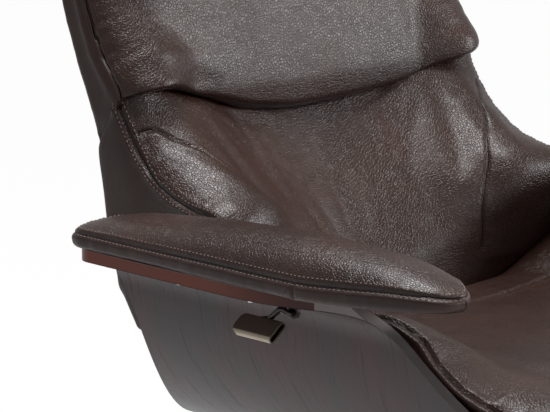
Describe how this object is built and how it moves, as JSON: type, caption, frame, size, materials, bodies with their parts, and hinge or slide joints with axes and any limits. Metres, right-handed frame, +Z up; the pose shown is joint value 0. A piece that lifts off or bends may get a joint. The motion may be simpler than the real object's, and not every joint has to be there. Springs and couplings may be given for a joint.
{
  "type": "star base swivel recliner",
  "caption": "Leather recliner with a moulded plywood shell seat, padded arms, a reclining cushioned back, a release lever and a swivelling star base.",
  "frame": {"origin": "on the floor, on the swivel axis, at the bottom centre of the bounding box", "axes": "+Z up, the chair faces -Y, the sitter's right arm with the lever is at -X"},
  "size_m": [0.7746, 0.8457, 1.09],
  "materials": {
    "star_aluminium": "satin cast aluminium",
    "column_steel": "satin steel tube",
    "bright_steel": "bright turned and plated steel",
    "dark_steel": "dark bronze coating, satin",
    "bronze_steel": "satin bronze plating",
    "black_steel": "black powder coat",
    "black_plastic": "moulded black nylon",
    "cable_sheath": "smooth black sheath",
    "dark_plywood": "dark stained open-grain veneer, satin lacquer",
    "pale_plywood": "plain plywood",
    "webbing": "woven elastic strap",
    "dark_leather": "dark brown pebbled leather, satin, tonal double stitching"
  },
  "bodies": {
    "base": {"star_base": "star_aluminium", "hub_cap": "black_plastic", "glide_1": "black_plastic", "glide_2": "black_plastic", "glide_3": "black_plastic", "glide_4": "black_plastic", "glide_5": "black_plastic", "column_tube": "column_steel", "column_bush_lower": "black_plastic", "column_bush_upper": "black_plastic", "thrust_race_lower": "bright_steel", "thrust_balls": "bright_steel", "thrust_cage": "black_plastic"},
    "seat": {"spindle": "bright_steel", "retaining_clip": "bright_steel", "thrust_race_upper": "bright_steel", "mounting_pan": "black_steel", "pan_bolts": "bright_steel", "seat_shell": "dark_plywood", "seat_board": "pale_plywood", "seat_straps": "webbing", "seat_cleat_right": "pale_plywood", "seat_cleat_left": "pale_plywood", "seat_cushion": "dark_leather", "arm_pad_right": "dark_leather", "arm_pad_left": "dark_leather", "pad_board_right": "pale_plywood", "pad_board_left": "pale_plywood", "pad_screws_right": "bright_steel", "pad_screws_left": "bright_steel", "hinge_bracket_right": "black_steel", "hinge_bracket_left": "black_steel", "hinge_bolts": "bright_steel", "hinge_shaft": "bright_steel", "spring_cylinder": "black_steel", "spring_gland": "black_plastic", "release_head": "black_plastic", "spring_clevis": "black_steel", "spring_pin": "bright_steel", "lever_bush": "black_plastic", "release_cable": "cable_sheath", "cable_clips": "bright_steel"},
    "backrest": {"back_frame": "black_steel", "hinge_bush_right": "black_plastic", "hinge_bush_left": "black_plastic", "crank_pin": "bright_steel", "backboard": "pale_plywood", "back_cover": "dark_leather", "lower_back_cushion": "dark_leather", "upper_back_cushion": "dark_leather"},
    "spring_rod": {"spring_rod": "bright_steel", "rod_eye": "black_plastic"},
    "release_lever": {"lever_stem": "dark_steel", "lever_paddle": "bronze_steel", "lever_arm": "dark_steel", "cable_wire": "bright_steel"}
  },
  "joints": [
    {"name": "swivel", "type": "hinge", "parent": "base", "child": "seat", "pos_m": [0, 0, 0.3], "axis": [0, 0, 1], "continuous": true},
    {"name": "recline", "type": "hinge", "parent": "seat", "child": "backrest", "pos_m": [0, 0.15, 0.43], "axis": [-1, 0, 0], "range_deg": [0, 28]},
    {"name": "spring_stroke", "type": "slide", "parent": "seat", "child": "spring_rod", "axis": [0, -1, 0], "range_m": [0, 0.0276]},
    {"name": "lever_lift", "type": "hinge", "parent": "seat", "child": "release_lever", "pos_m": [-0.3305, -0.085, 0.543], "axis": [1, 0, 0], "range_deg": [0, 9], "stiffness_Nm_per_rad": 1.2, "springref_deg": -14.32}
  ],
  "couplings": [
    {"joint": "spring_stroke", "follows": "recline", "m_per_rad": 0.05544}
  ]
}
